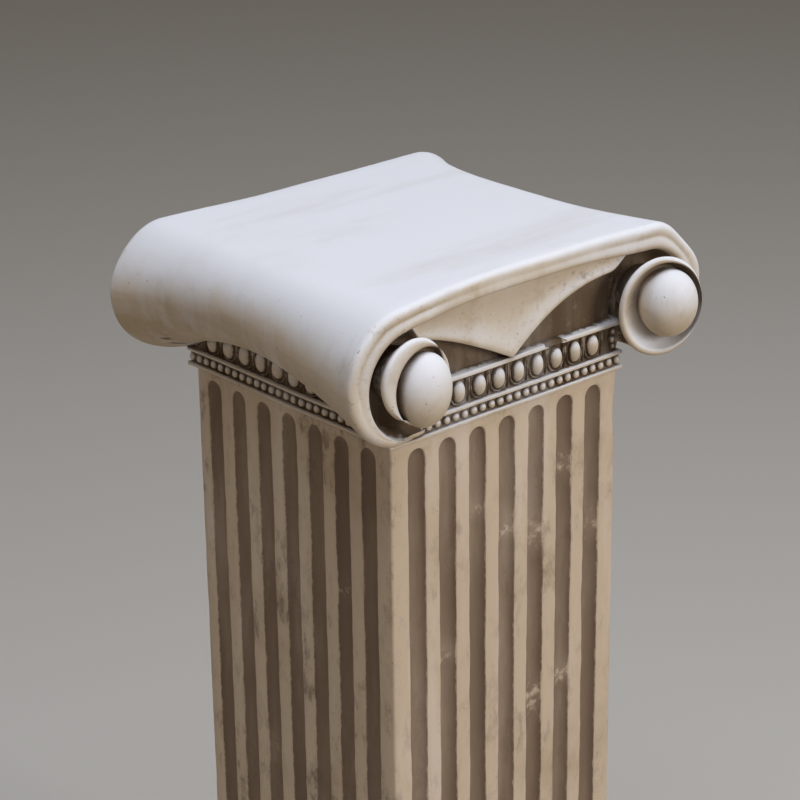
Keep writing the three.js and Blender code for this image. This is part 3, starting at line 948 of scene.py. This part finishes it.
def flute_at(z):
    """Half width and the cutter's radius at a height. Outside the flute the width is 0."""
    beyond = max(0, z - (FLUTE_TOP - FLUTE_HALF), FLUTE_BOTTOM + FLUTE_HALF - z)
    ball = CUT_RADIUS ** 2 - (beyond * CUT_RADIUS / (FLUTE_HALF * 1.035)) ** 2
    if ball <= CUT_OUTSIDE ** 2:
        return 0, CUT_OUTSIDE
    radius = math.sqrt(ball)
    return math.sqrt(radius ** 2 - CUT_OUTSIDE ** 2), radius


def shaft_heights():
    """Heights of the net's rows: close together at the flutes' ends."""
    rows = [SHAFT_FOOT, SHAFT_FOOT + 0.5, SHAFT_FOOT + 1.6, SHAFT_FOOT + 8, FLUTE_BOTTOM - 3]
    steps = [FLUTE_HALF * 1.03 * math.sin(k / 9 * math.pi / 2) for k in range(10)]
    rows += [FLUTE_BOTTOM + FLUTE_HALF - s for s in reversed(steps)]
    rows += list(np.linspace(FLUTE_BOTTOM + FLUTE_HALF, FLUTE_TOP - FLUTE_HALF, 105))[1:-1]
    rows += [FLUTE_TOP - FLUTE_HALF + s for s in steps]
    rows += [FLUTE_TOP + 2.5, SHAFT_TOP - 2.6, SHAFT_TOP - 1.2, SHAFT_TOP - 0.4, SHAFT_TOP]
    return sorted(rows)


print("cutter's radius:", round(CUT_RADIUS, 2), "rows of the shaft's net:", len(shaft_heights()))

# %% [markdown]
# ## Wear of the shaft
# Some flutes are bridged by light smears of stone paste. The list gives them one by one: face,
# flute, height, length and how much of the depth is filled. The arrises are rubbed off unevenly,
# the right-hand one most just below the capital, and the one at the rear left all the way up.
# Slow noise does that better than a bevel, which would take the same off everywhere.

# %% Smears and worn arrises
SMEARS = [(0, 5, 620, 26, 0.45), (0, 5, 440, 18, 0.5), (0, 4, 430, 30, 0.5),
          (0, 1, 500, 14, 0.4), (0, 3, 585, 22, 0.4), (0, 4, 570, 28, 0.5),
          (0, 6, 560, 24, 0.4), (0, 2, 610, 16, 0.35), (3, 5, 550, 22, 0.3),
          (3, 2, 380, 26, 0.3), (2, 3, 520, 30, 0.5), (1, 4, 330, 24, 0.5),
          (1, 2, 600, 18, 0.4)]
ARRIS_ROUND = 1.2
RIGHT_WEAR = 2.6
RIGHT_WEAR_AT = SHAFT_TOP - 36
RIGHT_WEAR_LENGTH = 30
REAR_LEFT_WEAR = 5


def smear(face, flute, z):
    """Share of the flute's depth that is filled at a height."""
    filled = 0
    for at_face, at_flute, middle, length, share in SMEARS:
        if at_face == face and at_flute == flute:
            filled = max(filled, share * ease(1 - abs(z - middle) / length))
    return filled


def wander(face, line, z, size):
    """A slow drift of an edge up the shaft."""
    return size * noise.noise(Vector((face * 7.3 + line * 1.9, z * 0.021, 3.1)))


def arris_wear(face, z):
    """How far a vertical corner of the shaft is worn back. Face 0 ends at the right arris."""
    wear = 0.5 + 0.9 * max(0, noise.noise(Vector((face * 5.1, z * 0.035, 8.8))))
    if face == 0:
        wear += RIGHT_WEAR * ease(1 - abs(z - RIGHT_WEAR_AT) / RIGHT_WEAR_LENGTH)
    if face == 2:
        wear += REAR_LEFT_WEAR
    return ARRIS_ROUND + wear


print("smears:", len(SMEARS), "right arris worn by", round(arris_wear(0, RIGHT_WEAR_AT), 1), "mm")

# %% [markdown]
# ## The shaft's net
# The shaft is a stack of level rings, and each ring follows the four faces in and out of their
# flutes. Cutting the flutes with a Boolean would be quicker, but their edges would be dead
# straight. Here they wander and are a little ragged, because the mould was worn and the edges
# were wiped by hand.

# %% One level ring of the shaft
END_ROUND = 1.4


def face_columns(face, z):
    """Places and depths across one face at a height, from its left arris to its right."""
    half_width, radius = flute_at(z)
    spots = []
    for flute in range(FLUTE_COUNT):
        middle = (flute - (FLUTE_COUNT - 1) / 2) * FLUTE_PITCH + wander(face, flute, z, 0.5)
        ragged = wander(face, flute + 20, z, 0.7) + wander(face, flute + 40, z * 4.5, 0.5)
        width = max(0.25, half_width + ragged * (half_width > 4))
        fill = 1 - smear(face, flute, z)
        columns = [-q for q in reversed(ACROSS[1:])] + ACROSS
        spots.append((middle - width - ARRIS, 0))
        for q in columns:
            depth = 0
            if half_width > 0:
                chord = math.sqrt(max(0, radius ** 2 - (q * half_width) ** 2))
                depth = max(0, chord - CUT_OUTSIDE) * fill + 0.35 * (abs(q) > 0.99)
            spots.append((middle + q * width, depth))
        spots.append((middle + width + ARRIS, 0))
        if flute < FLUTE_COUNT - 1:
            spots.append((middle + FLUTE_PITCH / 2, 0))
    return spots


def shaft_ring(z):
    """One ring, drawn in a little at the shaft's foot and top, where the edges are round."""
    towards_end = max(0, 1 - (z - SHAFT_FOOT) / 1.6, 1 - (SHAFT_TOP - z) / 1.2)
    half = SHAFT_HALF - END_ROUND * towards_end ** 2
    ring = []
    for face in range(4):
        turn = face * math.pi / 2
        worn_left, worn_right = arris_wear((face - 1) % 4, z), arris_wear(face, z)
        local = [(-half + worn_left, 0)] + face_columns(face, z) + [(half - worn_right, 0)]
        local.append((half - worn_right * 0.35, worn_right * 0.35))
        for x, depth in local:
            x = min(max(x, -half + worn_left), half - worn_right * 0.35)
            y = depth - half + 0.2 * noise.noise(Vector((x, z, face * 9)) * 0.045)
            y = max(y, -SHAFT_HALF)
            ring.append((x * math.cos(turn) - y * math.sin(turn),
                         x * math.sin(turn) + y * math.cos(turn), z))
    return ring


print("points in a ring of the shaft:", len(shaft_ring(SHAFT_TOP / 2)))

# %% [markdown]
# ## The shaft and its wash
# In a flute the rag missed everything from about a millimetre down, and the ridges between came
# out clean. On a smear the paint lies thin. As on the capital, the share is worked out for each
# point of the mesh and stored there.

# %% The shaft
def shaft_wash(spot):
    """Wash in the flutes: full a millimetre down, none on the ridges, thin on a smear."""
    x, y, z = spot
    if not FLUTE_BOTTOM - 2 < z < FLUTE_TOP + 2 or min(abs(x), abs(y)) > SHAFT_HALF - 10:
        return 0.0
    if abs(y) > abs(x):
        face, along = (0, x) if y < 0 else (2, -x)
    else:
        face, along = (1, y) if x > 0 else (3, -y)
    flute = round(along / FLUTE_PITCH + (FLUTE_COUNT - 1) / 2)
    thin = 1 - 0.95 * smear(face, flute, z)
    return thin * ease((SHAFT_HALF - max(abs(x), abs(y)) - 0.35) / 1.1)


shaft = face_outward(closed_stack("shaft_casting", [shaft_ring(z) for z in shaft_heights()]))
store_wash(shaft, shaft_wash)
shade(shaft, 40)
print("shaft:", len(shaft.data.polygons), "faces")

# %% [markdown]
# ## The plinth
# The photograph cuts the column off above its foot, so the plinth is plain and in keeping: a
# block, a low step, a half-round roll and a fillet, with arrises rounded by handling. A box and
# a bevelled roll could be set on each other, but one profile, carried round a square like the
# neck's, gives all of it as one casting.

# %% Plinth
PLINTH_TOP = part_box("plinth")[1].z / MM
PLINTH_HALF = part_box("plinth")[1].x / MM
BLOCK_TOP = 52
STEP_TOP = 61.6
ROLL = 10
FILLET_HALF = SHAFT_HALF + 9
FILLET_FOOT = PLINTH_TOP - 6
PLINTH_CORNER = 2.2


def plinth_profile():
    """Half width and height from the ground up."""
    line = [(PLINTH_HALF - 2.4, 0), (PLINTH_HALF - 0.8, 0.7), (PLINTH_HALF - 0.1, 2.4)]
    line += [(PLINTH_HALF, z) for z in (8, 18, 28, 38, 46)]
    line += [(PLINTH_HALF - 0.1, BLOCK_TOP - 2.6), (PLINTH_HALF - 0.9, BLOCK_TOP - 0.8),
             (PLINTH_HALF - 2.6, BLOCK_TOP)]
    line += [(FILLET_HALF + ROLL + 1, BLOCK_TOP), (FILLET_HALF + ROLL, BLOCK_TOP + 0.8)]
    line.append((FILLET_HALF + ROLL, STEP_TOP))
    middle = FILLET_FOOT - ROLL
    for k in range(1, 14):
        angle = (k / 14 - 0.5) * math.pi
        line.append((FILLET_HALF + ROLL * math.cos(angle), middle + ROLL * math.sin(angle)))
    line += [(FILLET_HALF, FILLET_FOOT + 0.4), (FILLET_HALF, PLINTH_TOP - 1),
             (FILLET_HALF - 1, PLINTH_TOP)]
    return line


plinth_rings = [square_ring(half, PLINTH_CORNER, z) for half, z in plinth_profile()]
plinth = face_outward(closed_stack("plinth_casting", plinth_rings))
uneven(plinth, 0.5, 0.1)
level_foot(plinth, 0, PLINTH_TOP)
shade(plinth, 40)
print("plinth:", len(plinth.data.polygons), "faces")

# %% [markdown]
# ## The finish: pale plaster under an umber wash
# The real surface is matt off-white stone that was washed with thin brown paint and wiped, so
# the brown stays in every recess, with painted shade added in the narrowest gaps, and the top is
# the cleanest. The colours also carry painted light: a lighter, cooler top for the sky light,
# warmer sides for the bounce light and darker undersides for the shade. Painting an image would
# tie the finish to this one shape, while nodes fit any casting. A material is built here in
# coats, as the maker worked. The small helpers below each add one node and wire it up.

# %% Node helpers
def colour(red, green, blue):
    """A screen colour from 0 to 255, as the linear colour that a node wants."""
    return tuple(((c / 255 + 0.055) / 1.055) ** 2.4 for c in (red, green, blue)) + (1,)


class Finish:
    """A material under construction."""

    def __init__(self, name):
        self.material = bpy.data.materials.new(name)
        self.material.use_nodes = True
        self.tree = self.material.node_tree
        self.shader = self.tree.nodes["Principled BSDF"]
        self.spot = self.add("ShaderNodeTexCoord").outputs["Object"]

    def add(self, kind, **settings):
        """A new node with its settings."""
        node = self.tree.nodes.new(kind)
        for name, value in settings.items():
            setattr(node, name, value)
        return node

    def wire(self, source, target):
        """A link from one node's output to another's input."""
        self.tree.links.new(source, target)

    def noise(self, scale, detail, rough, stretch=(1, 1, 1)):
        """Soft noise in space, drawn out by stretch."""
        place = self.add("ShaderNodeMapping")
        place.inputs["Scale"].default_value = stretch
        self.wire(self.spot, place.inputs["Vector"])
        cloud = self.add("ShaderNodeTexNoise")
        cloud.inputs["Scale"].default_value = scale
        cloud.inputs["Detail"].default_value = detail
        cloud.inputs["Roughness"].default_value = rough
        self.wire(place.outputs["Vector"], cloud.inputs["Vector"])
        return cloud.outputs["Fac"]

    def ramp(self, source, low, high, to_low, to_high):
        """The source, spread so that low becomes to_low and high becomes to_high."""
        node = self.add("ShaderNodeMapRange", interpolation_type="SMOOTHSTEP")
        for name, value in (("From Min", low), ("From Max", high), ("To Min", to_low),
                            ("To Max", to_high)):
            node.inputs[name].default_value = value
        self.wire(source, node.inputs["Value"])
        return node.outputs["Result"]

    def maths(self, kind, first, second):
        """Two numbers or outputs, added, multiplied or compared, and kept between 0 and 1."""
        node = self.add("ShaderNodeMath", operation=kind, use_clamp=True)
        for socket, value in zip(node.inputs, (first, second)):
            if isinstance(value, (int, float)):
                socket.default_value = value
            else:
                self.wire(value, socket)
        return node.outputs["Value"]

    def layer(self, under, over, mask):
        """One colour laid over another where the mask is 1."""
        node = self.add("ShaderNodeMix", data_type="RGBA")
        for socket, value in ((node.inputs[6], under), (node.inputs[7], over)):
            if isinstance(value, tuple):
                socket.default_value = value
            else:
                self.wire(value, socket)
        self.wire(mask, node.inputs[0])
        return node.outputs[2]


print("pale plaster on the capital:", [round(c, 3) for c in colour(229, 230, 236)])

# %% [markdown]
# ## What all coats share
# Dirt and rubbing follow the same patterns all over the column: a slow cloud, a mottle, fine
# grains and streaks that run down. The slope of the surface says what is top, side or underside.
# Each is made once, so that one coat's edge falls in with the next coat's.

# %% Slopes and patterns of the plaster
# How far the occlusion looks for gaps to paint umber, as wash and as painted shade.
RECESS_REACH = 10


class Plaster(Finish):
    """A finish with the slopes and noises that its coats share."""

    def __init__(self, name):
        super().__init__(name)
        slope = self.add("ShaderNodeSeparateXYZ")
        self.wire(self.add("ShaderNodeNewGeometry").outputs["Normal"], slope.inputs["Vector"])
        self.upward = slope.outputs["Z"]
        self.rightward = slope.outputs["X"]
        self.side_face = self.ramp(self.upward, 0.3, 0.9, 1, 0.12)
        self.cloud = self.noise(9, 5, 0.6)
        self.mottle = self.noise(38, 6, 0.65)
        self.fine = self.noise(150, 5, 0.65)
        self.streaks = self.noise(30, 5, 0.6, (1, 1, 0.16))
        self.kept_wash_and_shade = self.add("ShaderNodeAttribute", attribute_name="wash").outputs["Fac"]


print("paint stays in gaps of up to", RECESS_REACH, "mm")

# %% [markdown]
# ## The stone itself
# The sides are tan, made warmer as painted bounce light, and the top is clean and cooler as
# painted sky light, with a soft border that a cloud breaks up. Undersides are darker as painted
# shade. Wiping left faint drawn-out marks on the top and long ones along the rolls, and stains on
# the sides. Where the rag rubbed hardest, the clean stone shows again, most on faces that look
# up, which is painted sky light.

# %% Coats of stone
def stone_coats(plaster, clean_sky_lit, tan_warm_lit, sky_lit_top_share, side_clean, drawn):
    """The colour of the stone before the wash, with painted sky light on top and painted shade below."""
    stain_and_underside_shade = (tan_warm_lit[0] * 0.66, tan_warm_lit[1] * 0.58, tan_warm_lit[2] * 0.47, 1)
    # Painted sky light: faces that look up get the clean, cool colour.
    facing_up = plaster.maths("ADD", plaster.upward, plaster.ramp(plaster.cloud, 0.3, 0.7, -0.2, 0.2))
    sky_lit_top_mask = plaster.ramp(facing_up, -0.2, 0.65, 0, sky_lit_top_share)
    base = plaster.layer(tan_warm_lit, clean_sky_lit, sky_lit_top_mask)
    # Painted shade: undersides get the darker colour.
    under = plaster.ramp(plaster.upward, -0.75, 0.15, 0.75, 0)
    base = plaster.layer(base, stain_and_underside_shade, under)
    across = plaster.noise(16, 5, 0.6, (0.16, 1, 1))
    wipes = plaster.ramp(across, 0.52, 0.74, 0, drawn * 0.3)
    base = plaster.layer(base, stain_and_underside_shade, plaster.maths("MULTIPLY", wipes, sky_lit_top_mask))
    along = plaster.noise(26, 6, 0.65, (1, 0.14, 1))
    lines = plaster.ramp(along, 0.5, 0.7, 0, drawn)
    low_side = plaster.ramp(plaster.upward, -0.1, 0.4, 1, 0)
    base = plaster.layer(base, stain_and_underside_shade, plaster.maths("MULTIPLY", lines, low_side))
    stains = plaster.ramp(plaster.cloud, 0.5, 0.72, 0, 0.6)
    base = plaster.layer(base, stain_and_underside_shade, plaster.maths("MULTIPLY", stains, plaster.side_face))
    bared = plaster.maths("MULTIPLY", plaster.ramp(plaster.streaks, 0.5, 0.7, 0, 1), side_clean)
    base = plaster.layer(base, clean_sky_lit, bared)
    # Rubbed-clean stone, shown only on faces that look up: partly real rubbing, partly painted sky
    # light.
    rubbed_and_sky_lit = plaster.maths("MULTIPLY", plaster.ramp(plaster.kept_wash_and_shade, -1, 0, 1, 0),
                           plaster.ramp(plaster.upward, -0.4, 0.5, 0, 0.75))
    return plaster.layer(base, clean_sky_lit, rubbed_and_sky_lit)


# %% [markdown]
# ## Umber wash and dirt
# The wash lies where the stored share says so, with a ragged edge, and in every narrow gap. An
# ambient occlusion node finds the gaps, such as those between the beads, which would need far
# more points to store; the umber it lays there is painted shade as well as wash. Later dirt came
# on top: crumbly smears, more of them on the left, and small dark specks in the pores.

# %% Coats of umber
def umber_coats(plaster, base, umber, dirty):
    """The wash in the recesses, umber as painted shade in narrow gaps, then dirt and specks on the
    sides.
    """
    edge = plaster.maths("ADD", plaster.kept_wash_and_shade, plaster.ramp(plaster.fine, 0.3, 0.7, -0.22, 0.22))
    wash = plaster.maths("MULTIPLY", plaster.ramp(edge, 0.25, 0.7, 0, 1),
                         plaster.ramp(plaster.streaks, 0.38, 0.72, 1, 0.72))
    # Painted shade: an occlusion node darkens narrow gaps and creases with umber, together with the
    # wash.
    hollow = plaster.add("ShaderNodeAmbientOcclusion", samples=8)
    hollow.inputs["Distance"].default_value = RECESS_REACH * MM
    crease_wash_and_shade = plaster.maths("MULTIPLY", plaster.ramp(hollow.outputs["AO"], 0.3, 0.85, 1, 0),
                           plaster.ramp(plaster.mottle, 0.3, 0.7, 0.6, 1.0))
    base = plaster.layer(base, umber, plaster.maths("MAXIMUM", wash, crease_wash_and_shade))
    crumbs = plaster.noise(75, 8, 0.75, (1, 1, 0.45))
    soiled = plaster.maths("MULTIPLY", plaster.ramp(crumbs, 0.5, 0.66, 0, dirty),
                           plaster.ramp(plaster.cloud, 0.4, 0.62, 0.25, 1))
    left_more = plaster.ramp(plaster.rightward, -0.7, 0.1, 1, 0.5)
    soiled = plaster.maths("MULTIPLY", soiled, left_more)
    base = plaster.layer(base, umber, plaster.maths("MULTIPLY", soiled, plaster.side_face))
    pores = plaster.ramp(plaster.noise(330, 2, 0.5), 0.69, 0.76, 0, 0.75)
    specks = plaster.maths("MULTIPLY", pores, plaster.ramp(plaster.mottle, 0.42, 0.6, 0, 1))
    return plaster.layer(base, umber, plaster.maths("MULTIPLY", specks, plaster.side_face))


# %% [markdown]
# ## Grain, and the three plasters
# The stone is matt and feels like fine sandpaper. Its grain is far too small for the mesh, so it
# is a bump. The three castings share one recipe, but they came out differently: the capital is
# the whitest, the shaft carries most dirt, and the plinth is a little of both.

# %% Washed plaster for each casting
def washed_plaster(name, clean_sky_lit, tan_warm_lit, umber, sky_lit_top_share, side_clean, drawn, dirty):
    """Matt cast stone: tan with painted warm light on the sides, clean with painted sky light on top,
    painted shade underneath, and umber wash with painted crease shade in the recesses.
    """
    plaster = Plaster(name)
    base = stone_coats(plaster, clean_sky_lit, tan_warm_lit, sky_lit_top_share, side_clean, drawn)
    base = umber_coats(plaster, base, umber, dirty)
    plaster.wire(base, plaster.shader.inputs["Base Color"])
    roughness = plaster.ramp(plaster.mottle, 0.3, 0.7, 0.74, 0.9)
    plaster.wire(roughness, plaster.shader.inputs["Roughness"])
    plaster.shader.inputs["Specular IOR Level"].default_value = 0.3
    bump = plaster.add("ShaderNodeBump")
    bump.inputs["Strength"].default_value = 0.45
    bump.inputs["Distance"].default_value = 0.4 * MM
    grain = plaster.maths("ADD", plaster.noise(800, 3, 0.6),
                          plaster.maths("MULTIPLY", plaster.fine, 0.9))
    plaster.wire(grain, bump.inputs["Height"])
    plaster.wire(bump.outputs["Normal"], plaster.shader.inputs["Normal"])
    return plaster.material


# The clean colours are cool as painted sky light on tops, the tan ones warm as painted bounce light on
# sides.
capital_plaster = washed_plaster(
    "capital_plaster", clean_sky_lit=colour(229, 230, 236), tan_warm_lit=colour(207, 191, 168),
    umber=colour(96, 77, 57), sky_lit_top_share=1.0, side_clean=0.25, drawn=0.55, dirty=0.12)
shaft_plaster = washed_plaster(
    "shaft_plaster", clean_sky_lit=colour(216, 203, 190), tan_warm_lit=colour(204, 184, 160),
    umber=colour(128, 108, 91), sky_lit_top_share=0.5, side_clean=0.5, drawn=0.0, dirty=0.85)
plinth_plaster = washed_plaster(
    "plinth_plaster", clean_sky_lit=colour(218, 208, 196), tan_warm_lit=colour(200, 182, 156),
    umber=colour(94, 77, 58), sky_lit_top_share=0.7, side_clean=0.35, drawn=0.3, dirty=0.4)
print("nodes in the capital's plaster:", len(capital_plaster.node_tree.nodes))

# %% [markdown]
# ## Dress the castings
# Each mesh now gets its plaster and stands in for its solid: the same place, the same body and
# the same material slot. Nothing has to be moved, because every mesh already stands in its place.

# %% Dress the castings
for casting, node, plaster in ((capital, "capital", capital_plaster),
                               (shaft, "shaft", shaft_plaster),
                               (plinth, "plinth", plinth_plaster)):
    casting.data.materials.clear()
    casting.data.materials.append(plaster)
    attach(casting, "root")
    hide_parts(node)
print("finished castings:", capital.name, shaft.name, plinth.name)

# %% [markdown]
# ## Floor
# The column stands on a wide plain pale floor. The camera looks down on it, so the floor also
# fills the background. A curved studio sweep would hide the horizon too, but it would stand in
# the way of a view from behind.

# %% Floor
FLOOR_REACH = 9000
corners = [(x * FLOOR_REACH, y * FLOOR_REACH, 0) for x, y in ((-1, -1), (1, -1), (1, 1), (-1, 1))]
floor = make_object("floor", corners, [(0, 1, 2, 3)])
floor_finish = Finish("floor_paint")
floor_finish.shader.inputs["Base Color"].default_value = (0.62, 0.6, 0.57, 1)
floor_finish.shader.inputs["Roughness"].default_value = 0.9
floor.data.materials.append(floor_finish.material)
print("floor:", 2 * FLOOR_REACH * MM, "m wide")

# %% [markdown]
# ## Light
# The light on the real column is a cool open sky from above, a soft light on the right-hand face
# and a weak warm glow on the left. So there is one large soft lamp for each, and a dim warm
# room. A sky picture could do the same in one, but three lamps are easier to balance. They stand
# metres away, so their places and sizes are in metres.

# %% Lamps
def lamp(name, place, aim, size, power, tint):
    """A large soft lamp that shines from place to aim."""
    light = bpy.data.lights.new(name, "AREA")
    light.shape = "DISK"
    light.size = size
    light.energy = power
    light.color = tint
    made = bpy.data.objects.new(name, light)
    bpy.context.scene.collection.objects.link(made)
    made.location = place
    made.rotation_euler = (Vector(aim) - Vector(place)).to_track_quat("-Z", "Y").to_euler()
    print(name, power, "W")


lamp("sky_lamp", (-0.25, -0.35, 3.2), (0, 0, 0.7), 2.6, 60, (0.86, 0.915, 1.0))
lamp("face_lamp", (0.8, -3.0, 1.6), (0, 0, 0.6), 1.5, 47, (1.0, 0.97, 0.935))
lamp("warm_fill", (-2.6, -0.4, 0.9), (0, 0, 0.5), 1.6, 2.5, (1.0, 0.68, 0.4))
room = bpy.data.worlds.new("room")
room.use_nodes = True
room.node_tree.nodes["Background"].inputs["Color"].default_value = (1.0, 0.86, 0.7, 1)
room.node_tree.nodes["Background"].inputs["Strength"].default_value = 0.13
bpy.context.scene.world = room
bpy.context.scene.view_settings.view_transform = "Standard"
